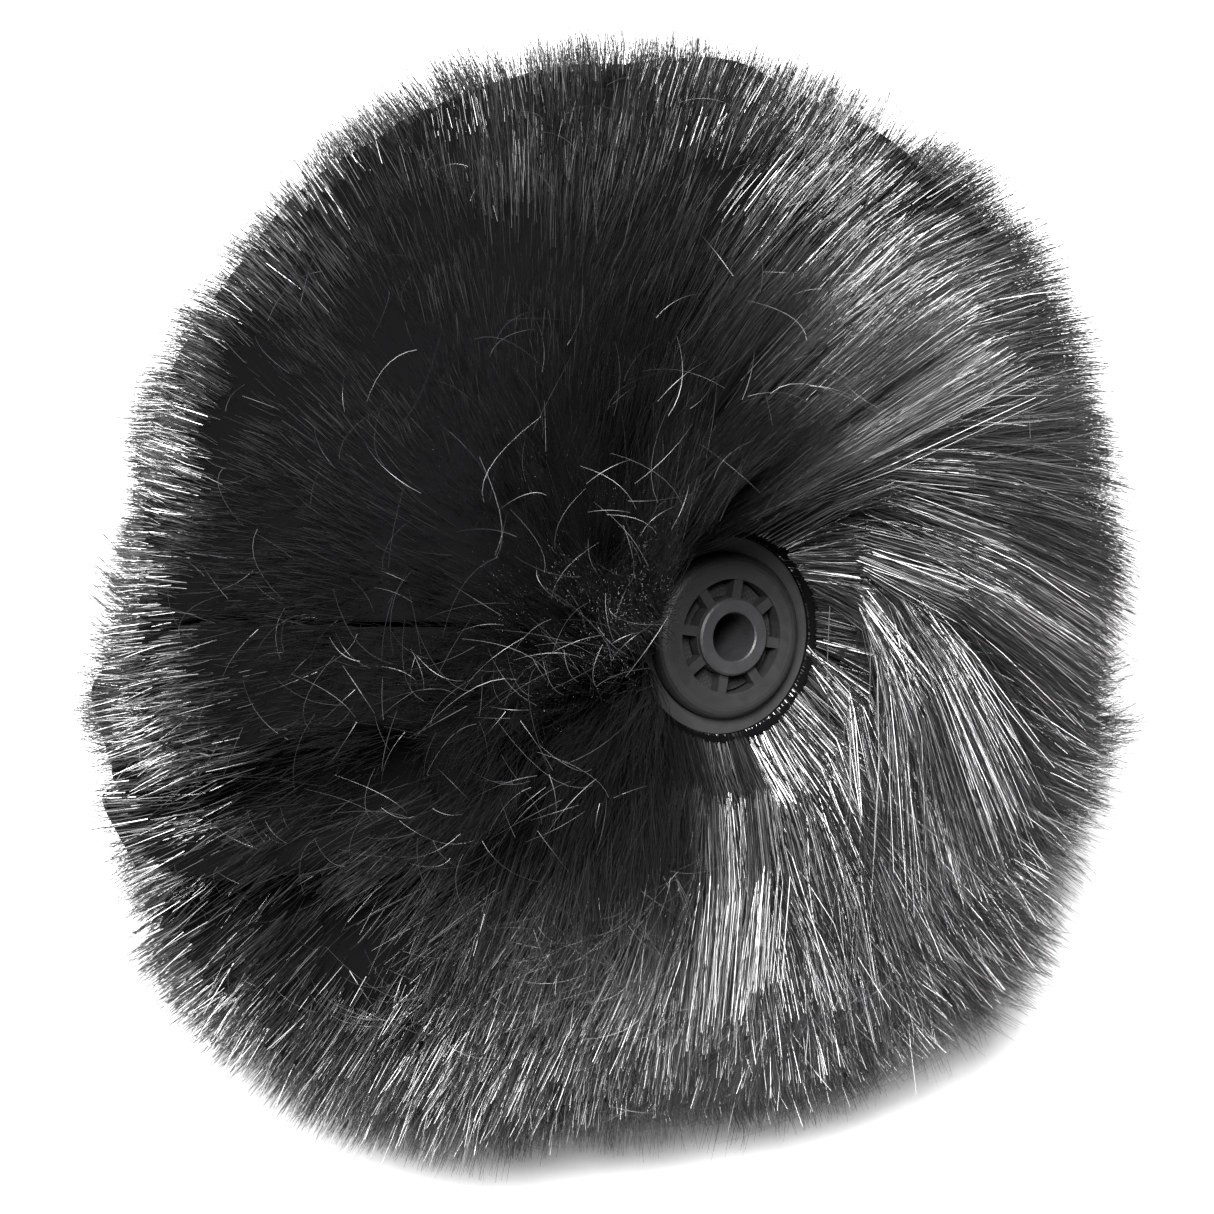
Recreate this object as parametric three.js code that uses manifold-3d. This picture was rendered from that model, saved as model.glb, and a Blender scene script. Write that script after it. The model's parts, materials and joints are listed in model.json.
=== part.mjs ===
// Fur ball windshield for a lavalier microphone: a sewn pile cover on a hollow cage, with a
// vented push-in adaptor whose bore grips the microphone capsule.
// Millimetres, +Z up. The ball lies at rest on a pressed-flat patch of its fur, at z = 0, with
// its bore facing forward (-Y) and tilted up by BORE_TILT.
//
// Every piece is drawn in the bore's own frame: +Y is the bore axis pointing out of the mouth,
// profiles are [radius, height along the axis] from the cage's centre, and clock angles run
// anticlockwise from +X as seen looking into the mouth.

import * as THREE from "three";
import { mergeVertices } from "three/addons/utils/BufferGeometryUtils.js";
import Module from "manifold-3d";

const wasm = await Module();
wasm.setup();

const DEG = Math.PI / 180;
const GAP = 0.3; // clearance between neighbouring pieces
const FAR = 200; // longer than anything here, for cutting blocks

// How the ball lies
const BORE_TILT = 30 * DEG;
const FUR_HEIGHT = 53; // middle of the fur above the surface it lies on
const SPOKE_CLOCK = -29.5 * DEG; // clock angle of the first spoke
const SEAM_CLOCK = -23 * DEG; // clock angle of the first seam between the fur panels

// Adaptor: a vented elastomer disc, and the sleeve that is pushed through its hub
const BORE_R = 2.5;
const HUB_R = 4.0;
const NARROW_R = 3.0; // sleeve where it passes through the hub
const TUBE_R = 3.7;
const VENT_R = 5.9;
const FLANGE_R = 8.6;
const FLANGE_FACE = 28;
const FLANGE_THICKNESS = 1.6;
const HUB_PROUD = 0.55;
const WEB_RECESS = 0.25;
const RIM_ROUND = 1.3;
const SPOKES = 8;
const SPOKE_WIDTH = 1.06;
const TUBE_END = 13.5;
const BARREL_R = 6.8;
const BARREL_WALL = 0.7;
const BARREL_END = 20.4;
const BEAD = 0.3; // how far the plug's snap bead stands out of the barrel

// What the plug sits in: a soft gasket inside the retaining collar
const GASKET_R = 7.4;
const COLLAR_BORE = 8.6;
const COLLAR_END = 18.4;
const COLLAR_BEAD = 0.5;
const LIP_WIDTH = 0.9;
const LIP_THICKNESS = 0.9;

// Fur cover
const FUR_R = 58.4; // across the bore axis
const FUR_FORWARD = 2.5; // middle of the fur ahead of the cage's centre
const FUR_HALF_LENGTH = 54.5; // along the bore axis
const BACKING_R = 27.5; // inside of the woven backing
const PANELS = 4;
const PANEL_BULGE = 0.03; // how far a panel's middle stands out between its seams
const STRETCH = 0.065; // how much longer the pile is along one clock angle than on average
const STRETCH_CLOCK = 64 * DEG;
const CRATER_R = 9.7; // bottom of the opening in the pile
const CRATER_FLARE = 33 * DEG; // slope of the opening's wall from the bore axis
const SHOULDER = 62 * DEG; // where the ball turns into the opening's lip, up from the waist
const SHOULDER_ROUND = 7;

// Cage, its liner and the clamped hem
const CAGE_R = 26.2;
const RIB = 1.8;
const CAGE_RIBS = 8;
const LINER_R = 26.55;
const LINER_THICKNESS = 0.5;
const LINER_EDGE = 28.5 * DEG;
const NECK_R = 9.7;
const PORT = [NECK_R + GAP, 12.4, 20.6, 22.8]; // inner and outer radius, low and high face
const HEM = [10.0, 12.2, 23.2, 24.9];
const HEM_WALL = 0.35;
const ELASTIC_R = 0.4;

const TURNS = 48; // facets round each turned piece

function solidOf(geometry) {
  const bare = geometry.clone();
  bare.deleteAttribute("normal");
  bare.deleteAttribute("uv");
  const merged = mergeVertices(bare, 1e-4);
  const corners = merged.index.array;
  const triVerts = [];
  for (let i = 0; i < corners.length; i += 3) {
    const [a, b, c] = corners.subarray(i, i + 3);
    if (a !== b && b !== c && c !== a) triVerts.push(a, b, c);
  }
  return new wasm.Manifold(
    new wasm.Mesh({
      numProp: 3,
      vertProperties: merged.attributes.position.array,
      triVerts: new Uint32Array(triVerts),
    }),
  );
}

function geometryOf(solid) {
  const mesh = solid.getMesh();
  const points = [];
  for (let i = 0; i < mesh.numVert; i++) {
    points.push(...mesh.vertProperties.subarray(i * mesh.numProp, i * mesh.numProp + 3));
  }
  const geometry = new THREE.BufferGeometry();
  geometry.setAttribute("position", new THREE.Float32BufferAttribute(points, 3));
  geometry.setIndex([...mesh.triVerts]);
  const flat = geometry.toNonIndexed();
  flat.computeVertexNormals();
  return flat;
}

// A profile turned round the bore axis. Its outer side runs up the axis.
function turned(profile, turns = TURNS) {
  const points = profile.map(([r, h]) => new THREE.Vector2(r, h));
  return solidOf(new THREE.LatheGeometry(points, turns));
}

// A closed profile clear of the axis, turned into a ring.
const ring = (profile, turns = TURNS) => turned([...profile, profile[0]], turns);

const plainRing = (inner, outer, low, high, turns = TURNS) =>
  ring([[inner, low], [outer, low], [outer, high], [inner, high]], turns);

// Points of an arc in the profile plane, angles from the +radius direction.
function arc(r, h, radius, from, to, steps) {
  return Array.from({ length: steps + 1 }, (_, i) => {
    const angle = from + ((to - from) * i) / steps;
    return [r + radius * Math.cos(angle), h + radius * Math.sin(angle)];
  });
}

// A block from one corner to another, turned to a clock angle about the bore axis.
function block(low, high, clock = 0) {
  const size = high.map((value, i) => value - low[i]);
  const box = new THREE.BoxGeometry(...size);
  box.translate(...low.map((value, i) => value + size[i] / 2));
  return solidOf(box.rotateY(clock));
}

const joined = (solids) => solids.reduce((whole, next) => whole.add(next));

// The assembly's place in the world, and everything above the surface it lies on.
const windshield = new THREE.Group();
windshield.position.y = FUR_FORWARD * Math.cos(BORE_TILT);
windshield.position.z = FUR_HEIGHT - FUR_FORWARD * Math.sin(BORE_TILT);
windshield.rotation.x = Math.PI - BORE_TILT;
windshield.updateMatrixWorld(true);

function aboveGround() {
  const box = new THREE.BoxGeometry(FAR, FAR, FAR).translate(0, 0, FAR / 2);
  return solidOf(box.applyMatrix4(windshield.matrixWorld.clone().invert()));
}

// Flange with a round rim, spokes to a hub, and the barrel that plugs into the gasket.
function ventedDisc() {
  const underside = FLANGE_FACE - FLANGE_THICKNESS;
  const webFace = FLANGE_FACE - WEB_RECESS;
  const flange = ring([
    [VENT_R, underside],
    [FLANGE_R - GAP, underside],
    ...arc(FLANGE_R - RIM_ROUND, FLANGE_FACE - RIM_ROUND, RIM_ROUND, 0, 90 * DEG, 5),
    [VENT_R, FLANGE_FACE],
  ]);
  const hub = plainRing(NARROW_R + GAP, HUB_R, underside, webFace, 36);
  const beadTop = BARREL_END + 2.2;
  const barrel = ring([
    [BARREL_R - BARREL_WALL, BARREL_END],
    [BARREL_R - 0.3, BARREL_END],
    [BARREL_R + BEAD, BARREL_END + 1.1],
    [BARREL_R + BEAD, beadTop - 0.3],
    [BARREL_R, beadTop],
    [BARREL_R, underside + 0.2],
    [BARREL_R - BARREL_WALL, underside + 0.2],
  ]);
  const spokes = Array.from({ length: SPOKES }, (_, i) =>
    block(
      [HUB_R - 0.3, underside, -SPOKE_WIDTH / 2],
      [VENT_R + 0.4, webFace, SPOKE_WIDTH / 2],
      SPOKE_CLOCK + (i * 2 * Math.PI) / SPOKES,
    ),
  );
  return joined([flange, hub, barrel, ...spokes]);
}

// Round collar standing proud of the hub, a waist through the hub, and the gripping tube.
function micSleeve() {
  const face = FLANGE_FACE - WEB_RECESS + GAP + HUB_PROUD;
  const collarBack = face - HUB_PROUD;
  const tubeTop = FLANGE_FACE - FLANGE_THICKNESS - GAP;
  return ring(
    [
      [BORE_R, TUBE_END],
      [TUBE_R, TUBE_END],
      [TUBE_R, tubeTop],
      [NARROW_R, tubeTop],
      [NARROW_R, collarBack],
      [HUB_R, collarBack],
      [HUB_R, face - 0.2],
      [HUB_R - 0.2, face],
      [BORE_R + 0.15, face],
      [BORE_R, face - 0.15],
    ],
    36,
  );
}

// Fine mesh held inside the plug, just behind the vents.
function ventGauze() {
  const top = FLANGE_FACE - FLANGE_THICKNESS - GAP;
  return plainRing(TUBE_R + GAP, BARREL_R - BARREL_WALL - GAP, top - 0.25, top, 40);
}

// Soft ring between the plug and the collar.
function seatGasket() {
  const low = COLLAR_END + 1.2;
  const high = FLANGE_FACE - FLANGE_THICKNESS - 0.5;
  return plainRing(GASKET_R, COLLAR_BORE - GAP, low, high);
}

// Neck that snaps into the cage's port from outside, and clamps the hem under its lip.
function retainingCollar() {
  const lipTop = FLANGE_FACE - FLANGE_THICKNESS - GAP;
  const lipBack = lipTop - LIP_THICKNESS;
  const catchFace = PORT[2] - 0.4;
  return ring([
    [COLLAR_BORE, COLLAR_END],
    [NECK_R - 0.4, COLLAR_END],
    [NECK_R + COLLAR_BEAD, COLLAR_END + 1],
    [NECK_R + COLLAR_BEAD, catchFace],
    [NECK_R, catchFace],
    [NECK_R, lipBack],
    [NECK_R + LIP_WIDTH, lipBack],
    [NECK_R + LIP_WIDTH, lipTop - 0.3],
    [NECK_R + LIP_WIDTH - 0.3, lipTop],
    [COLLAR_BORE, lipTop],
  ]);
}

// Open ball of great-circle ribs through both poles, with two rings across them.
function cageBall() {
  const radii = [CAGE_R - RIB, CAGE_R];
  const hoop = ring(
    [[radii[0], -RIB / 2], [radii[1], -RIB / 2], [radii[1], RIB / 2], [radii[0], RIB / 2]],
    CAGE_RIBS * 3,
  );
  const ribs = Array.from({ length: CAGE_RIBS / 2 }, (_, i) =>
    hoop.rotate([90, 0, 0]).rotate([0, 22.5 + (i * 360) / CAGE_RIBS, 0]),
  );
  const parallel = (height) => {
    const outer = Math.sqrt((CAGE_R - 0.2) ** 2 - (Math.abs(height) + RIB / 2) ** 2);
    return plainRing(outer - RIB, outer, height - RIB / 2, height + RIB / 2, 24);
  };
  const waist = plainRing(radii[0], radii[1], -RIB - GAP / 2, RIB + GAP / 2, 24);
  return joined([waist, ...ribs, parallel(13), parallel(-13)]);
}

function cageFront(ball) {
  const [inner, outer, low, high] = PORT;
  const seat = outer + 0.8; // ribs end level with the port's face inside this radius
  const opening = [[0, 0.5], [inner, 0.5], [inner, high], [seat, high], [seat, FAR], [0, FAR]];
  const half = ball.trimByPlane([0, 1, 0], GAP / 2);
  return half.subtract(turned(opening, 32)).add(plainRing(inner, outer, low, high));
}

// The ribs meet in a small boss at the far pole.
function cageRear(ball) {
  const [radius, outside] = [4, CAGE_R - 0.5];
  const boss = [[0, -outside], [radius, -outside], [radius, RIB - outside], [0, RIB - outside]];
  return ball.trimByPlane([0, -1, 0], GAP / 2).add(turned(boss, 32));
}

// Half of the fine inner bag that lies on the cage, from one angle off the mouth to another.
function liner(from, to) {
  const outside = LINER_R + LINER_THICKNESS;
  const start = 90 * DEG - to;
  const end = 90 * DEG - from;
  return [...arc(0, 0, outside, start, end, 6), ...arc(0, 0, LINER_R, end, start, 6)];
}

// Folded fabric channel round the opening, open on its inner side for the elastic.
function hemCasing() {
  const [inner, outer, low, high] = HEM;
  return ring([
    [inner, low],
    [outer, low],
    [outer, high],
    [inner, high],
    [inner, high - HEM_WALL],
    [outer - HEM_WALL, high - HEM_WALL],
    [outer - HEM_WALL, low + HEM_WALL],
    [inner, low + HEM_WALL],
  ]);
}

// Round elastic running in the channel.
function hemElastic() {
  const [inner, outer, low, high] = HEM;
  const middle = [(inner + outer - HEM_WALL) / 2, (low + high) / 2];
  return ring(arc(...middle, ELASTIC_R, 0, 300 * DEG, 5), 28);
}

// Whole cover before it is cut into panels, pressed flat where it lies.
function furBall() {
  const onBall = (angle) => [
    FUR_R * Math.cos(angle),
    FUR_FORWARD + FUR_HALF_LENGTH * Math.sin(angle),
  ];
  const floor = [CRATER_R, FLANGE_FACE - 0.7];
  const [shoulderR, shoulderHeight] = onBall(SHOULDER);
  const shoulder = [shoulderR - 2.6, shoulderHeight - SHOULDER_ROUND + 1];
  const steps = 16;
  const outside = Array.from({ length: steps + 1 }, (_, i) =>
    onBall(-90 * DEG + (i * (SHOULDER + 78 * DEG)) / steps),
  );
  outside[0][0] = 0;
  const edge = LINER_EDGE - 0.5 * DEG;
  const inside = arc(0, 0, BACKING_R, 90 * DEG - edge, -90 * DEG, 10);
  inside[10][0] = 0;
  const geometry = new THREE.LatheGeometry(
    [
      ...outside,
      ...arc(...shoulder, SHOULDER_ROUND, 48 * DEG, 180 * DEG - CRATER_FLARE, 4),
      floor,
      ...inside,
    ].map(([r, h]) => new THREE.Vector2(r, h)),
    TURNS,
  );
  bulge(geometry);
  return solidOf(geometry).intersect(aboveGround());
}

// Swells each panel between its seams and stretches the ball along one clock angle, more with
// distance from the backing and from the axis.
function bulge(geometry) {
  const position = geometry.getAttribute("position");
  for (let i = 0; i < position.count; i++) {
    const [x, y, z] = [position.getX(i), position.getY(i), position.getZ(i)];
    const reach = Math.hypot(x, y - FUR_FORWARD, z);
    const depth = Math.max(0, (reach - BACKING_R) / (FUR_R - BACKING_R));
    const clock = Math.atan2(-z, x);
    const swell =
      STRETCH * Math.cos(2 * (clock - STRETCH_CLOCK)) -
      PANEL_BULGE * Math.cos(PANELS * (clock - SEAM_CLOCK));
    const grow = 1 + swell * depth * (Math.hypot(x, z) / reach) ** 2;
    position.setXYZ(i, x * grow, y, z * grow);
  }
}

function furPanel(ball, index) {
  const clock = SEAM_CLOCK + (index * 2 * Math.PI) / PANELS;
  return ball.intersect(block([GAP / 2, -FAR, -FAR], [FAR, FAR, -GAP / 2], clock));
}

function finish(name, colour, roughness) {
  return new THREE.MeshStandardMaterial({ name, color: colour, roughness, metalness: 0 });
}

function place(name, solid, material) {
  const mesh = new THREE.Mesh(geometryOf(solid), material);
  mesh.name = name;
  windshield.add(mesh);
}

place("vented_disc", ventedDisc(), finish("elastomer", 0x3d3d40, 0.62));
place("mic_sleeve", micSleeve(), finish("elastomer", 0x444447, 0.6));
place("vent_gauze", ventGauze(), finish("gauze", 0x1b1b1d, 0.9));
place("seat_gasket", seatGasket(), finish("gasket", 0x242426, 0.7));
place("retaining_collar", retainingCollar(), finish("cage_plastic", 0x2c2c2e, 0.5));

const ball = cageBall();
place("cage_front", cageFront(ball), finish("cage_plastic", 0x2c2c2e, 0.5));
place("cage_rear", cageRear(ball), finish("cage_plastic", 0x2c2c2e, 0.5));

const linerSplit = GAP / 2 / LINER_R;
const frontLiner = ring(liner(LINER_EDGE, 90 * DEG - linerSplit), 32);
place("liner_front", frontLiner, finish("liner", 0x18181a, 0.9));
const rearLiner = ring(liner(90 * DEG + linerSplit, 176 * DEG), 32);
place("liner_rear", rearLiner, finish("liner", 0x18181a, 0.9));

place("hem_casing", hemCasing(), finish("hem_fabric", 0x19191b, 0.85));
place("hem_elastic", hemElastic(), finish("elastic", 0x101012, 0.8));

const cover = furBall();
for (let i = 0; i < PANELS; i++) {
  place(`fur_panel_${i + 1}`, furPanel(cover, i), finish("fur", 0x1c1b1e, 0.75));
}

export default windshield;
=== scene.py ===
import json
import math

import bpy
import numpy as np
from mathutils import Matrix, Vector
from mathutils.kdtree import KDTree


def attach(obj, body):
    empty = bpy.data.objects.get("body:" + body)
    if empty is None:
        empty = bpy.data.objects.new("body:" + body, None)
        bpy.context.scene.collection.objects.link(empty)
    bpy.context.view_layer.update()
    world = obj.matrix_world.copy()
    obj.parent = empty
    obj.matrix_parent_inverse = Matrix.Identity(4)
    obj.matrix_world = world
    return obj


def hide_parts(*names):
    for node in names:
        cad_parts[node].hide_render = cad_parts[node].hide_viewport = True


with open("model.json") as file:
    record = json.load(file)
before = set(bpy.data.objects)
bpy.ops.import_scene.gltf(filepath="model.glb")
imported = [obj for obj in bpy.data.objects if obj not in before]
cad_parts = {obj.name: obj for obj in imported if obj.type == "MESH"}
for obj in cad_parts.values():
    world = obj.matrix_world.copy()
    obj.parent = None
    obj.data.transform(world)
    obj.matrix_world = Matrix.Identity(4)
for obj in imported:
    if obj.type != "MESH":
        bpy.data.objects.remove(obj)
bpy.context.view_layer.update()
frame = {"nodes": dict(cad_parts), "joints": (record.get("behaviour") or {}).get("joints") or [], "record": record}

# A black fur ball windshield for a lavalier microphone, lying on a white surface.
#
# The pile is real geometry: a dark underlayer for each sewn panel, tapered fibres that stand on
# it in tufts gathered into larger locks, and loose curly fibres on top. The underlayer's near-black
# colour is partly the black pile itself and partly painted shade: darker than the fibres and nearly
# without sheen, it stands for the light lost deep in the pile. Everything about the pile is worked
# out in the bore's own frame, in millimetres: x to the right and y up as seen looking into the
# mouth, z out along the bore axis, with polar angles measured from the bore axis and clock angles
# anticlockwise from +x. All angles are in radians.

MM = 0.001
SEED = 31

# The bore's frame, from the joint that the adaptor turns on.
FLANGE_FACE = 28.0
TURN = next(j for j in frame["joints"] if j["name"] == "adaptor_turn")
AXIS = np.array(TURN["axis"], float)
ACROSS = np.array([1.0, 0.0, 0.0])
UPWARD = np.cross(AXIS, ACROSS)
AXES = np.stack([ACROSS, UPWARD, AXIS])
CENTRE = np.array(TURN["pos_m"], float) / MM - FLANGE_FACE * AXIS

# Pile
FUR_R = 58.4
FUR_HALF_LENGTH = 54.5
FUR_FORWARD = 2.5
BACKING_R = 28.5
MOUTH = math.radians(21)  # polar angle of the pile's inner edge
MEET = math.radians(60)  # polar angle beyond which the pile leaves straight outward
PANELS = 4
PANEL_ARC = 2 * math.pi / PANELS
SEAM_CLOCK = math.radians(-23)
SEAM_MARGIN = 0.004  # part of a panel's arc left free at each of its seams
SWELL_TURN = math.radians(6)  # from a seam to where the panels' own swelling is least
LONG_WAY = math.radians(64)  # clock angle along which the ball is stretched
THREE_WAY = math.radians(64)  # clock angle of one of three broad bulges
COMBED = math.radians(-45)  # clock angle of the side where the pile lies flattest
PARTED = math.radians(150)  # clock angle at which the mouth is parted wider
GROOVES = (math.radians(178), math.radians(189))  # clock angles of the two long creases
FIELD_R = 50.0  # radius at which the random fields are read
UNDERLAYER_ROWS, UNDERLAYER_COLUMNS = 150, 100
FIBRES = 44000  # in each panel
NEAR_MOUTH = 0.16  # part of the fibres placed close to the mouth instead of evenly
RINGS = 4  # points along a fibre
ROOT_WIDTH = 0.095
# Shades of the fibres: base colour, roughness, index of refraction, specular level
SHADES = (
    ((0.0013, 0.0011, 0.0012), 0.35, 1.56, 0.8),
    ((0.0018, 0.0018, 0.0022), 0.37, 1.60, 0.8),
    ((0.0026, 0.0022, 0.0022), 0.39, 1.60, 0.8),
    ((0.0020, 0.0020, 0.0026), 0.36, 1.64, 0.8),
    ((0.0036, 0.0034, 0.0038), 0.38, 1.68, 1.0),
)
LETTERS = "abcde"  # one for each shade, in the names of pieces and materials
STRAYS = 3400
STRAYS_BELOW = 0.8  # part of the loose fibres gathered below the mouth
STRAYS_CLOCK = -1.9  # clock angle round which those lie
CLEAR_R = 9.4  # loose fibres stay outside this distance from the bore axis
FLOOR = 0.12  # fibres stay this far above the surface
PRESSED = 1.5  # height above FLOOR in which they bend over


def to_world(points):
    """Bore frame in millimetres to the row frame in metres."""
    return (points @ AXES + CENTRE) * MM


def to_bore(vector):
    """A direction in the row frame, seen in the bore's frame."""
    return AXES @ np.asarray(vector, float)


UP = to_bore((0, 0, 1))
DOWN = to_bore((0, 0, -1))


def smooth(value, low, high):
    """Smooth step from 0 at low to 1 at high; with all three signs turned it falls instead."""
    t = np.clip((value - low) / (high - low), 0, 1)
    return t * t * (3 - 2 * t)


def unit(v):
    """The same directions with length 1."""
    return v / np.maximum(np.linalg.norm(v, axis=-1, keepdims=True), 1e-9)


def sphere(polar, clock, radius=1.0):
    """Points at the given angles on a ball round the bore frame's origin."""
    direction = [np.sin(polar) * np.cos(clock), np.sin(polar) * np.sin(clock), np.cos(polar)]
    return np.stack(direction, -1) * np.asarray(radius)[..., None]


def clock_gap(clock, other):
    """Signed difference of two clock angles, from -pi to pi."""
    return (clock - other + math.pi) % (2 * math.pi) - math.pi


class Ripple:
    """A smooth random field over space: a few plane waves of about one wavelength."""

    def __init__(self, seed, wavelength, waves=9):
        rng = np.random.default_rng(seed)
        self.k = unit(rng.normal(size=(waves, 3))) * 2 * math.pi / wavelength
        self.k *= rng.uniform(0.6, 1.5, (waves, 1))
        self.phase = rng.uniform(0, 2 * math.pi, waves)

    def __call__(self, points):
        return np.sin(points @ self.k.T + self.phase).mean(-1) * 1.8


LUMPS = Ripple(SEED + 1, 62)
BUMPS = Ripple(SEED + 2, 19)
KNOBS = Ripple(SEED + 6, 8)
WANDER = [Ripple(SEED + 3 + i, 30) for i in range(3)]


# ---- where the pile goes -------------------------------------------------------------------

def pile_height(polar, clock):
    """How far the pile reaches, as a part of the distance to the plain outer form."""
    at = sphere(polar, clock, FIELD_R)
    side = np.sin(polar)
    swell = -0.085 * np.cos(PANELS * (clock - SEAM_CLOCK - SWELL_TURN))
    swell = swell + 0.11 * np.cos(2 * (clock - LONG_WAY)) + 0.12 * np.cos(3 * (clock - THREE_WAY))
    swell = swell * side**2
    seam = np.abs(np.sin(PANELS / 2 * (clock - SEAM_CLOCK))) * side * 2 / PANELS
    dip = 0.03 * np.exp(-((seam / 0.05) ** 2)) * smooth(polar, 0.6, 1.0)
    for groove in GROOVES:
        near = np.exp(-((clock_gap(clock, groove) * side / 0.045) ** 2))
        dip += 0.4 * near * smooth(polar, 0.75, 0.95) * smooth(-polar, -1.75, -1.5)
    flattened = 0.16 * combed(clock) * smooth(-polar, -1.2, -0.6)
    return 1.035 + swell - dip - flattened + 0.03 * LUMPS(at) + 0.03 * BUMPS(at)


def combed(clock):
    """From 0 on the side where the pile stands to 1 on the side where it is combed flat."""
    return (0.5 + 0.5 * np.cos(clock - COMBED)) ** 1.5


def rise(polar, clock):
    """Angle from the bore axis at which the pile leaves the backing."""
    open_edge = (math.radians(17) + math.radians(36) * combed(clock)
                 + math.radians(2) * np.maximum(np.cos(clock - PARTED), 0))
    part = np.clip((polar - MOUTH) / (MEET - MOUTH), 0, 1)
    lifted = math.radians(8) * combed(clock) * np.sin(math.pi * part)
    return np.where(polar < MEET, open_edge + (MEET - open_edge) * part - lifted, polar)


def comb(polar, clock):
    """Which way the outer half of the pile lies, along the surface."""
    here = sphere(polar, clock)
    outward = np.stack([np.cos(polar) * np.cos(clock), np.cos(polar) * np.sin(clock),
                        -np.sin(polar)], -1)
    round_mouth = np.stack([np.sin(clock), -np.cos(clock), np.zeros_like(clock)], -1)
    near_mouth = smooth(-polar, -1.5, -0.7)
    right = 0.5 + 0.5 * np.cos(clock - math.radians(25))
    lay = outward * (0.7 - 0.45 * near_mouth * right)[..., None]
    lay = lay + round_mouth * (near_mouth * (0.1 + 1.9 * right))[..., None]
    lay = lay + DOWN * (0.1 + 0.6 * combed(clock))[..., None]
    for i, wave in enumerate(WANDER):
        lay[..., i] += 0.55 * wave(here * FIELD_R) * (1 - 0.5 * near_mouth)
    for groove in GROOVES:
        gap = clock_gap(clock, groove)
        apart = np.exp(-((gap * np.sin(polar) / 0.09) ** 2)) * np.sign(gap)
        lay = lay - round_mouth * (1.3 * apart)[..., None]
    return unit(lay - here * (lay * here).sum(-1, keepdims=True))


def lean(polar, clock):
    """How far over the outer half of the pile lies, in radians."""
    beside = np.maximum(np.cos(clock - math.radians(20)), 0)
    below = np.maximum(np.cos(clock - math.radians(-115)), 0) ** 2
    left = np.maximum(np.cos(clock - PARTED), 0) ** 2
    return (0.18 - 0.14 * combed(clock) * smooth(polar, 0.6, 0.9)
            + 0.85 * beside * smooth(-polar, -1.3, -0.7)
            + 0.45 * below * smooth(-polar, -1.2, -0.6)
            + 0.15 * combed(clock) * smooth(-polar, -0.75, -0.45)
            + 0.25 * left * smooth(polar, 1.3, 1.8))


def reach(start, direction):
    """Distance from a point inside the plain outer form to its surface."""
    scale = 1 / np.array([FUR_R, FUR_R, FUR_HALF_LENGTH])
    p = (start - [0, 0, FUR_FORWARD]) * scale
    d = direction * scale
    a, b, c = (d * d).sum(-1), (p * d).sum(-1), (p * p).sum(-1) - 1
    return (-b + np.sqrt(np.maximum(b * b - a * c, 0))) / a


def pile_path(polar, clock, steps, bend, length=1.0, stray=None):
    """Points along fibres that start on the backing: one row of steps for each fibre.
    bend is how far over the outer half lies, steps run from 0 to 1, length is a part of the
    pile's height, and stray turns a fibre away from its neighbours."""
    base = sphere(polar, clock, BACKING_R)
    leave = sphere(rise(polar, clock), clock)
    lay = comb(polar, clock)
    if stray is not None:
        leave, lay = unit(leave + 0.5 * stray), unit(lay + stray)
    bend = bend[..., None]
    over = unit(np.cos(bend) * leave + np.sin(bend) * lay)
    far = (reach(base, over) * pile_height(polar, clock) * length)[..., None]
    tip = base + over * far
    knee = base + leave * far * (0.6 - 0.3 * np.minimum(bend, 1))
    t = steps[..., None]
    base, knee, tip = (point[..., None, :] for point in (base, knee, tip))
    return (1 - t) ** 2 * base + 2 * t * (1 - t) * knee + t**2 * tip


def above_floor(points):
    """Fibres that would go through the surface bend over and spread along it."""
    height = points @ AXES[:, 2] + CENTRE[2]
    sunk = np.maximum(FLOOR + PRESSED - height, 0)
    lifted = points + UP * (sunk - PRESSED * sunk / (sunk + PRESSED))[..., None]
    flat = lifted - to_bore(-CENTRE * [0, 1, 0])
    flat = flat - UP * (flat @ UP)[..., None]
    return lifted + unit(flat) * (0.35 * sunk)[..., None]


# ---- meshes --------------------------------------------------------------------------------

def mesh_object(name, points, faces_by_size, material, smooth_faces=False):
    """A piece of the fur from points in the bore's frame, with an array of faces for each size."""
    mesh = bpy.data.meshes.new(name)
    world = to_world(points).astype(np.float32)
    mesh.vertices.add(len(world))
    mesh.vertices.foreach_set("co", world.ravel())
    corners = np.concatenate([f.ravel() for f in faces_by_size]).astype(np.int32)
    sizes = np.concatenate([np.full(len(f), f.shape[1]) for f in faces_by_size])
    starts = np.concatenate([[0], np.cumsum(sizes)[:-1]]).astype(np.int32)
    mesh.loops.add(len(corners))
    mesh.loops.foreach_set("vertex_index", corners)
    mesh.polygons.add(len(starts))
    mesh.polygons.foreach_set("loop_start", starts)
    mesh.polygons.foreach_set("use_smooth", np.full(len(starts), smooth_faces))
    mesh.update(calc_edges=True)
    mesh.materials.append(material)
    piece = bpy.data.objects.new(name, mesh)
    bpy.context.scene.collection.objects.link(piece)
    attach(piece, "cover_and_cage")
    return piece


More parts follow.
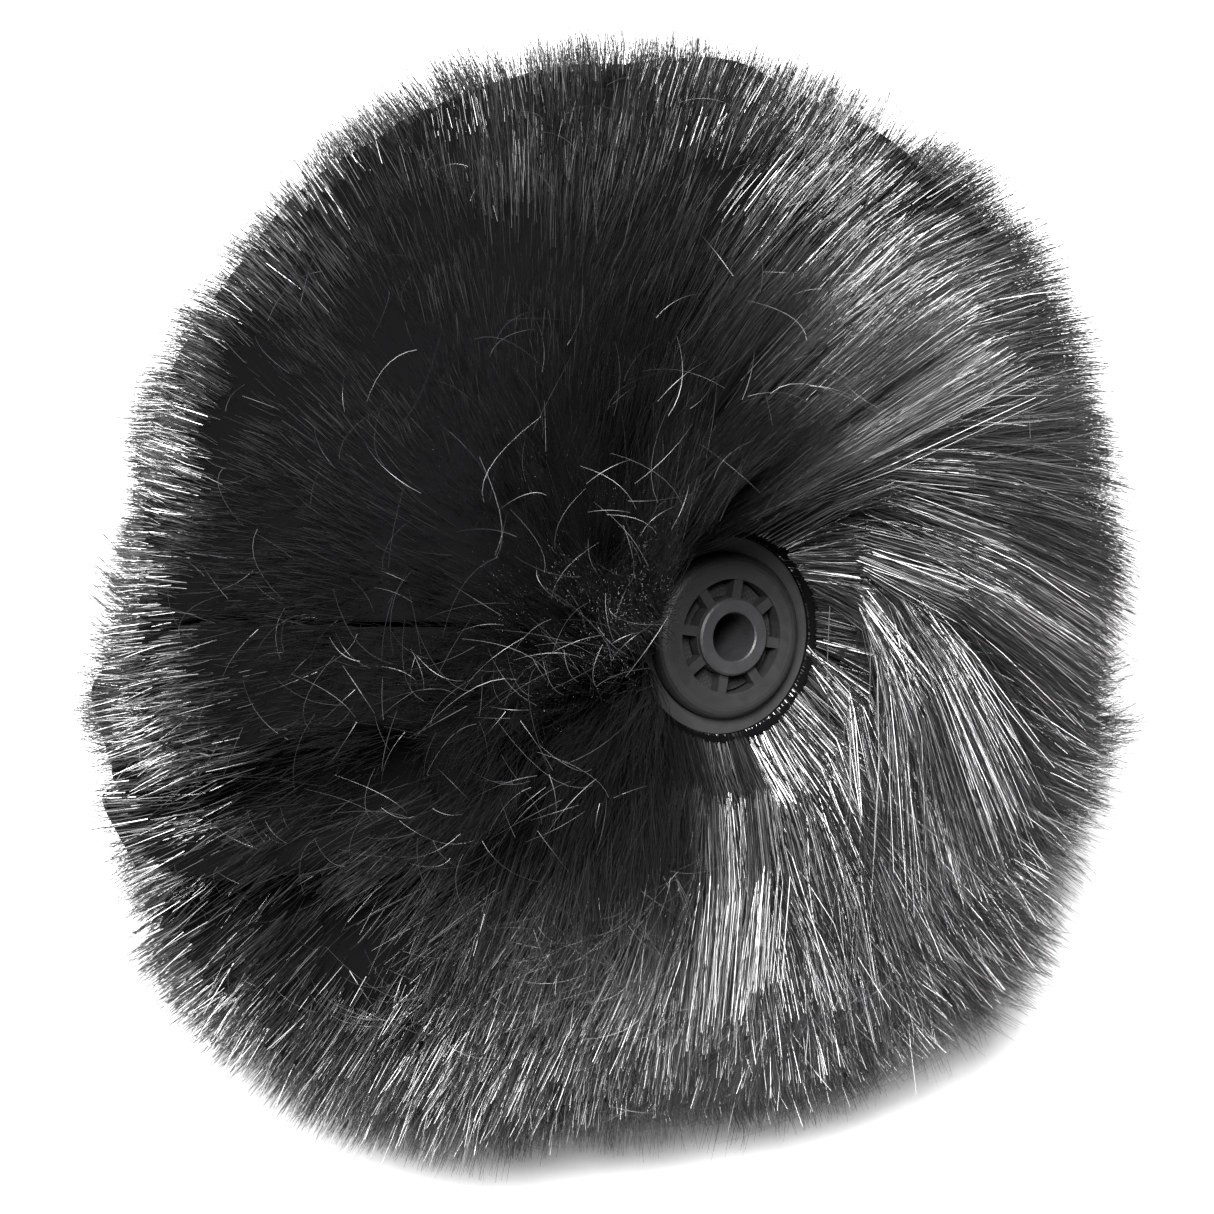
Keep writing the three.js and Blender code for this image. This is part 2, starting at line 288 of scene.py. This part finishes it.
def fibre_mesh(paths, width, rng):
    """Three-sided tapered fibres along the given paths. Their faces stay flat: smooth shading
    on so few sides would light up fibres that point at the camera."""
    count, rings = paths.shape[:2]
    along = unit(np.gradient(paths, axis=1))
    side = unit(np.cross(along, rng.normal(size=(count, 1, 3))))
    other = np.cross(along, side)
    radius = (width[:, None] * np.linspace(1, 0.2, rings) ** 0.7 / 2)[..., None]
    angles = np.arange(3) * 2 * math.pi / 3
    walls = [paths + radius * (math.cos(a) * side + math.sin(a) * other) for a in angles]
    points = np.stack(walls, 2).reshape(count, rings * 3, 3)
    ring = np.arange(3)
    after = (ring + 1) % 3
    sides = [np.stack([r * 3 + ring, r * 3 + after, r * 3 + 3 + after, r * 3 + 3 + ring], 1)
             for r in range(rings - 1)]
    ends = np.array([[2, 1, 0], (rings - 1) * 3 + ring])
    offset = (np.arange(count) * rings * 3)[:, None, None]
    return (points.reshape(-1, 3),
            [(np.concatenate(sides) + offset).reshape(-1, 4), (ends + offset).reshape(-1, 3)])


class Tufts:
    """Middles of tufts spread over the ball, and how far each one departs from the even pile."""

    def __init__(self, seed, count, bend, length, stray):
        rng = np.random.default_rng(seed)
        i = np.arange(count) + 0.5
        jitter = 0.33 * math.sqrt(4 * math.pi / count)
        polar = np.arccos(1 - 2 * i / count) + rng.normal(0, jitter, count)
        clock = math.pi * (1 + math.sqrt(5)) * i + rng.normal(0, jitter, count)
        keep = (polar > MOUTH) & (polar < math.pi)
        self.polar, self.clock = polar[keep], clock[keep] % (2 * math.pi)
        free = 0.75 + 0.75 * combed(self.clock)
        self.bend = free * rng.normal(0, bend, len(self.polar))
        self.length = rng.normal(1, length, len(self.polar))
        self.stray = free[:, None] * rng.normal(0, stray, (len(self.polar), 3))
        self.tree = KDTree(len(self.polar))
        for n, direction in enumerate(sphere(self.polar, self.clock)):
            self.tree.insert(direction, n)
        self.tree.balance()

    def nearest(self, polar, clock):
        """Index of the nearest tuft for each place."""
        return np.array([self.tree.find(p)[1] for p in sphere(polar, clock)])

    def follow(self, larger):
        """Tufts that belong to a larger lock share its departures."""
        lock = larger.nearest(self.polar, self.clock)
        self.bend += larger.bend[lock]
        self.length *= larger.length[lock]
        self.stray += larger.stray[lock]

    def path(self, index, steps, length):
        """Paths up the middles of the given tufts."""
        polar, clock = self.polar[index], self.clock[index]
        bend = lean(polar, clock) + self.bend[index]
        return pile_path(polar, clock, steps, bend, length, self.stray[index])


LOCKS = Tufts(SEED + 20, 620, 0.12, 0.02, 0.16)
TUFTS = Tufts(SEED + 21, 3400, 0.12, 0.015, 0.14)
TUFTS.follow(LOCKS)


def underlayer_depth(polar, clock):
    """Part of a fibre's length that is buried in the dense pile below."""
    standing = 1 - combed(clock)
    return 0.03 + (0.74 + 0.1 * standing) * smooth(polar, MOUTH, 1.05 - 0.2 * standing)


def scatter(panel, count, rng):
    """Roots spread over one panel, closer together round the mouth."""
    draw = rng.uniform(0, 1, count)
    even = np.arccos(math.cos(MOUTH) - draw * (1 + math.cos(MOUTH)))
    near = MOUTH + (1.0 - MOUTH) * rng.uniform(0, 1, count) ** 1.3
    polar = np.where(rng.uniform(0, 1, count) < NEAR_MOUTH, near, even)
    polar = np.minimum(polar, math.radians(179.7))
    across = rng.uniform(SEAM_MARGIN, 1 - SEAM_MARGIN, count)
    return polar, SEAM_CLOCK + (panel + across) * PANEL_ARC


def fibre_paths(polar, clock, rng):
    """Fibres from the underlayer to their tips, each drawn towards its tuft and its lock."""
    count = len(polar)
    tuft, lock = TUFTS.nearest(polar, clock), LOCKS.nearest(polar, clock)
    start = np.maximum(underlayer_depth(polar, clock) - 0.03 - 0.07 * combed(clock), 0)
    steps = start[:, None] + (1 - start[:, None]) * np.linspace(0, 1, RINGS)
    length = TUFTS.length[tuft] * (1 - 0.12 * rng.uniform(0, 1, count) ** 2)
    bend = lean(polar, clock) + TUFTS.bend[tuft] + rng.normal(0, 0.13, count)
    loose = 0.06 + 0.08 * smooth(polar, 0.5, 0.9) + 0.07 * combed(clock)
    stray = TUFTS.stray[tuft] + loose[:, None] * rng.normal(size=(count, 3))
    paths = pile_path(polar, clock, steps, bend, length, stray)
    for middles, index, least, most in ((TUFTS, tuft, 0.15, 0.5), (LOCKS, lock, 0.1, 0.4)):
        pull = (rng.uniform(least, most, count)[:, None] * steps**1.6)[..., None]
        paths += pull * (middles.path(index, steps, length) - paths)
    wave = rng.normal(0, 0.36, (count, 1, 3)) * np.sin(
        steps * rng.uniform(4, 9, (count, 1)) + rng.uniform(0, 6.3, (count, 1)))[..., None]
    return above_floor(paths + wave * steps[..., None])


def stray_paths():
    """Loose curly fibres lying on the pile, most of them round the mouth, and their widths."""
    rng = np.random.default_rng(SEED + 50)
    polar = 0.42 + 1.2 * rng.uniform(0, 1, STRAYS) ** 1.5
    clock = rng.uniform(0, 2 * math.pi, STRAYS)
    below = rng.uniform(0, 1, STRAYS) < STRAYS_BELOW
    clock = np.where(below, rng.normal(STRAYS_CLOCK, 0.7, STRAYS), clock)
    on_pile = pile_path(polar, clock, np.full((STRAYS, 1), 0.9), lean(polar, clock))[:, 0]
    normal = sphere(polar, clock)
    loose = rng.normal(size=(STRAYS, 3)) + comb(polar, clock)
    first = unit(unit(loose - normal * (loose * normal).sum(-1, keepdims=True)) + 0.5 * normal)
    turn = unit(np.cross(normal, first)) * rng.normal(0, 0.5, (STRAYS, 1)) - 0.45 * normal
    t = np.linspace(0, 1, 8)[:, None]
    length = rng.uniform(3, 9, STRAYS)[:, None, None]
    paths = on_pile[:, None] + length * (t * first[:, None] + t**2 * turn[:, None])
    room = CLEAR_R + 11 * np.maximum(np.cos(clock - PARTED), 0)
    clear = np.hypot(paths[..., 0], paths[..., 1]).min(1) > room
    return above_floor(paths[clear]), rng.uniform(0.035, 0.06, STRAYS)[clear]


def sheet(index):
    """Quads over a grid of points."""
    corners = [index[:-1, :-1], index[1:, :-1], index[1:, 1:], index[:-1, 1:]]
    return np.stack(corners, -1).reshape(-1, 4)


def wall(first, second):
    """Quads between two rows of points."""
    return np.stack([first[:-1], first[1:], second[1:], second[:-1]], -1)


def underlayer(panel, material):
    """The dense lower pile of a panel with its backing: one closed solid."""
    rows, columns = UNDERLAYER_ROWS, UNDERLAYER_COLUMNS
    polar = MOUTH + (math.radians(179.5) - MOUTH) * np.linspace(0, 1, rows) ** 1.1
    across = np.linspace(SEAM_MARGIN, 1 - SEAM_MARGIN, columns)
    clock = SEAM_CLOCK + (panel + across) * PANEL_ARC
    polar, clock = np.meshgrid(polar, clock, indexing="ij")
    depth = underlayer_depth(polar, clock)
    depth = depth * (1 + 0.02 * KNOBS(sphere(polar, clock, FIELD_R)))
    outer = pile_path(polar, clock, depth[..., None], lean(polar, clock))[..., 0, :]
    inner_r = BACKING_R - 0.8 + 0.6 * smooth(-polar, -0.6, -MOUTH)
    inner = sphere(polar, clock, inner_r)
    points = above_floor(np.concatenate([outer.reshape(-1, 3), inner.reshape(-1, 3)]))
    index = np.arange(rows * columns).reshape(rows, columns)
    under = index + rows * columns
    faces = [
        sheet(index), sheet(under)[:, ::-1],
        wall(index[:, 0], under[:, 0])[:, ::-1], wall(index[:, -1], under[:, -1]),
        wall(index[0], under[0]), wall(index[-1], under[-1])[:, ::-1],
    ]
    return mesh_object(f"pile_base_{panel + 1}", points, [np.concatenate(faces)], material, True)


# ---- materials -----------------------------------------------------------------------------

class Nodes:
    """A material with its shader, and short calls for the nodes that drive it."""

    LOW, HIGH = 0.3, 0.7  # most values of a noise texture lie between these

    def __init__(self, name, colour, roughness, **sockets):
        self.material = bpy.data.materials.new(name)
        self.material.use_nodes = True
        self.tree = self.material.node_tree
        self.shader = self.tree.nodes["Principled BSDF"]
        self.shader.inputs["Base Color"].default_value = (*colour, 1)
        self.shader.inputs["Roughness"].default_value = roughness
        for socket, value in sockets.items():
            self.shader.inputs[socket.replace("_", " ")].default_value = value

    def add(self, kind, **inputs):
        """A new node, with values or links for its inputs."""
        node = self.tree.nodes.new(kind)
        for name, value in inputs.items():
            self.set(node, name.replace("_", " "), value)
        return node

    def set(self, node, name, value):
        if isinstance(value, bpy.types.NodeSocket):
            self.tree.links.new(value, node.inputs[name])
        else:
            node.inputs[name].default_value = value

    def place(self):
        """Where a point lies in its object."""
        return self.add("ShaderNodeTexCoord").outputs["Object"]

    def noise(self, scale, detail=3.0):
        node = self.add("ShaderNodeTexNoise", Scale=scale, Detail=detail)
        self.tree.links.new(self.place(), node.inputs["Vector"])
        return node.outputs["Fac"]

    def spread(self, value, low, high):
        """A noise value brought to the range from low to high."""
        node = self.add("ShaderNodeMapRange", Value=value, To_Min=low, To_Max=high)
        node.inputs["From Min"].default_value = self.LOW
        node.inputs["From Max"].default_value = self.HIGH
        return node.outputs["Result"]

    def colours(self, value, dark, light):
        """A noise value turned into a colour between two."""
        ramp = self.add("ShaderNodeValToRGB", Fac=value)
        ends = ((self.LOW, dark), (self.HIGH, light))
        for element, (position, colour) in zip(ramp.color_ramp.elements, ends):
            element.position = position
            element.color = (*colour, 1)
        return ramp.outputs["Color"]

    def bump(self, height, strength, distance):
        node = self.add("ShaderNodeBump", Strength=strength, Distance=distance, Height=height)
        self.set(self.shader, "Normal", node.outputs["Normal"])


def elastomer(name, level, roughness):
    """Matt moulded elastomer with a fine spark-eroded texture and faint scuffs."""
    m = Nodes(name, (level, level, level * 1.08), roughness)
    scuffs = m.noise(190, 4)
    dark, light = level * 0.86, level * 1.16
    colour = m.colours(scuffs, (dark, dark, dark * 1.06), (light, light, light * 1.08))
    m.set(m.shader, "Base Color", colour)
    m.set(m.shader, "Roughness", m.spread(m.noise(900, 3), roughness - 0.07, roughness + 0.07))
    m.bump(m.noise(5200, 2), 0.35, 0.00004)
    return m.material


def moulded_plastic(name, level):
    """Plastic with a fine moulded texture."""
    m = Nodes(name, (level, level, level), 0.45)
    colour = m.colours(m.noise(120), (level * 0.85,) * 3, (level * 1.2,) * 3)
    m.set(m.shader, "Base Color", colour)
    m.set(m.shader, "Roughness", m.spread(m.noise(600), 0.38, 0.54))
    m.bump(m.noise(3600, 2), 0.25, 0.00003)
    return m.material


def woven(name, level, pitch):
    """Plain weave: two sets of threads crossing at the given pitch, in metres."""
    m = Nodes(name, (level,) * 3, 0.85)
    scale = math.pi / pitch / 10
    across = m.add("ShaderNodeTexWave", Scale=scale, Distortion=0.4)
    along = m.add("ShaderNodeTexWave", Scale=scale, Distortion=0.4)
    along.bands_direction = "Z"
    for wave in (across, along):
        m.tree.links.new(m.place(), wave.inputs["Vector"])
    both = m.add("ShaderNodeMath")
    both.operation = "MULTIPLY"
    m.tree.links.new(across.outputs["Fac"], both.inputs[0])
    m.tree.links.new(along.outputs["Fac"], both.inputs[1])
    # The colour is darker where the threads do not cross and lighter on the crossings: painted shade in the
    # weave's hollows and a painted highlight on its raised crossings, beside the real bump.
    colour = m.colours(both.outputs[0], (level * 0.5,) * 3, (level * 1.6,) * 3)
    m.set(m.shader, "Base Color", colour)
    m.bump(both.outputs[0], 0.6, pitch / 6)
    return m.material


def fur_material(name, colour, roughness, **sockets):
    """Plain colour for one shade of fibre: the pile's variation comes from fibre to fibre."""
    return Nodes(name, colour, roughness, **sockets).material


# ---- the fur -------------------------------------------------------------------------------

def make_fur():
    """The pile of every panel, and the loose fibres on it."""
    # The underlayer's colour is partly the black pile and partly painted shade: darker than the fibres and nearly
    # without sheen, it stands for the light lost deep in the pile.
    base = fur_material("fur_depths_painted_shade", (0.001, 0.00095, 0.0011), 0.95, Specular_IOR_Level=0.05)
    looks = []
    for letter, (colour, roughness, ior, level) in zip(LETTERS, SHADES):
        name = f"fur_pile_{letter}"
        looks.append(fur_material(name, colour, roughness, IOR=ior, Specular_IOR_Level=level))
    for panel in range(PANELS):
        rng = np.random.default_rng(SEED + 100 + panel)
        polar, clock = scatter(panel, FIBRES, rng)
        paths = fibre_paths(polar, clock, rng)
        width = ROOT_WIDTH * rng.uniform(0.7, 1.15, FIBRES)
        whole = [underlayer(panel, base)]
        shade = rng.permutation(FIBRES) % len(SHADES)
        for n, letter in enumerate(LETTERS):
            points, faces = fibre_mesh(paths[shade == n], width[shade == n], rng)
            whole.append(mesh_object(f"pile_{panel + 1}_{letter}", points, faces, looks[n]))
        for piece in whole:
            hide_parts(f"fur_panel_{panel + 1}")
    points, faces = fibre_mesh(*stray_paths(), np.random.default_rng(SEED + 60))
    # The loose fibres are coloured about ten times as light as the pile's fibres: painted light for the light they
    # catch lying on top of the pile.
    stray = fur_material("fur_strays_painted_light", (0.02, 0.019, 0.0216), 0.5, IOR=1.6, Specular_IOR_Level=0.8)
    mesh_object("strays", points, faces, stray)


def dress_frame():
    """Materials for the frame's own nodes that stay, by their slots."""
    looks = {
        "adaptor": elastomer("adaptor_elastomer", 0.006, 0.6),
        # The sleeve is coloured more than twice as light as the adaptor, though the two look one material: painted
        # light on the raised hub.
        "sleeve": elastomer("sleeve_elastomer_painted_light", 0.014, 0.5),
        "gasket": elastomer("gasket_elastomer", 0.02, 0.6),
        "cage": moulded_plastic("cage_plastic", 0.02),
        "gauze": woven("vent_gauze", 0.004, 0.0004),
        "liner": woven("liner_mesh", 0.01, 0.0005),
        "hem": woven("hem_tape", 0.012, 0.0007),
        "elastic": woven("elastic_braid", 0.01, 0.0005),
    }
    slots = {row["node"]: row["material_slot"] for row in frame["record"]["subparts"]}
    for name, node in frame["nodes"].items():
        if slots[name] in looks:
            node.data.materials.clear()
            node.data.materials.append(looks[slots[name]])


# ---- studio --------------------------------------------------------------------------------

VIEW_AZIMUTH = math.radians(-35.2)
VIEW_ELEVATION = math.radians(40.5)
VIEW_DISTANCE = 0.40
AIM = Vector((0.0, 0.0, 0.0543))
LENS = 110.0
KEY_OFFSET = (-0.15, 0.46, 1.25)
KEY_SIZE = 0.55
KEY_POWER = 108  # watts
ROOM_LIGHT = 0.07
FLOOR_SIDE = 1.2


def camera():
    data = bpy.data.cameras.new("camera")
    data.lens = LENS
    seen = bpy.data.objects.new("camera", data)
    bpy.context.scene.collection.objects.link(seen)
    toward = Vector((
        math.sin(VIEW_AZIMUTH) * math.cos(VIEW_ELEVATION),
        -math.cos(VIEW_AZIMUTH) * math.cos(VIEW_ELEVATION),
        math.sin(VIEW_ELEVATION),
    ))
    seen.location = AIM + toward * VIEW_DISTANCE
    seen.rotation_euler = (-toward).to_track_quat("-Z", "Y").to_euler()
    bpy.context.scene.camera = seen
    return seen


def lamp(name, view, offset, size, power):
    """A square light; offset is right, up and towards the camera, from the ball, in metres."""
    data = bpy.data.lights.new(name, "AREA")
    data.size = size
    data.energy = power
    light = bpy.data.objects.new(name, data)
    bpy.context.scene.collection.objects.link(light)
    light.location = AIM + view.to_3x3() @ Vector(offset)
    light.rotation_euler = (AIM - light.location).to_track_quat("-Z", "Y").to_euler()


def dim_room(strength):
    """A room that looks white but gives only a little light."""
    world = bpy.data.worlds.new("studio")
    world.use_nodes = True
    nodes, links = world.node_tree.nodes, world.node_tree.links
    background = nodes["Background"]
    background.inputs["Color"].default_value = (1, 1, 1, 1)
    ray = nodes.new("ShaderNodeLightPath")
    level = nodes.new("ShaderNodeMapRange")
    level.inputs["To Min"].default_value = strength
    links.new(ray.outputs["Is Camera Ray"], level.inputs["Value"])
    links.new(level.outputs["Result"], background.inputs["Strength"])
    return world


def floor():
    """A surface that looks white and gives little light back to the ball."""
    bpy.ops.mesh.primitive_plane_add(size=FLOOR_SIDE, location=(0, 0, 0))
    plane = bpy.context.object
    plane.name = "floor"
    m = Nodes("white_surface", (0.85, 0.85, 0.85), 0.6, Emission_Strength=0.15)
    m.shader.inputs["Emission Color"].default_value = (1, 1, 1, 1)
    seen = m.add("ShaderNodeLightPath").outputs["Is Camera Ray"]
    m.set(m.shader, "Base Color", m.colours(seen, (0.25,) * 3, (0.8,) * 3))
    plane.data.materials.append(m.material)


def studio():
    seen = camera()
    bpy.context.view_layer.update()
    view = seen.matrix_world
    bpy.context.scene.world = dim_room(ROOM_LIGHT)
    bpy.context.scene.view_settings.view_transform = "Standard"
    lamp("key", view, KEY_OFFSET, KEY_SIZE, KEY_POWER)
    floor()


studio()
make_fur()
dress_frame()
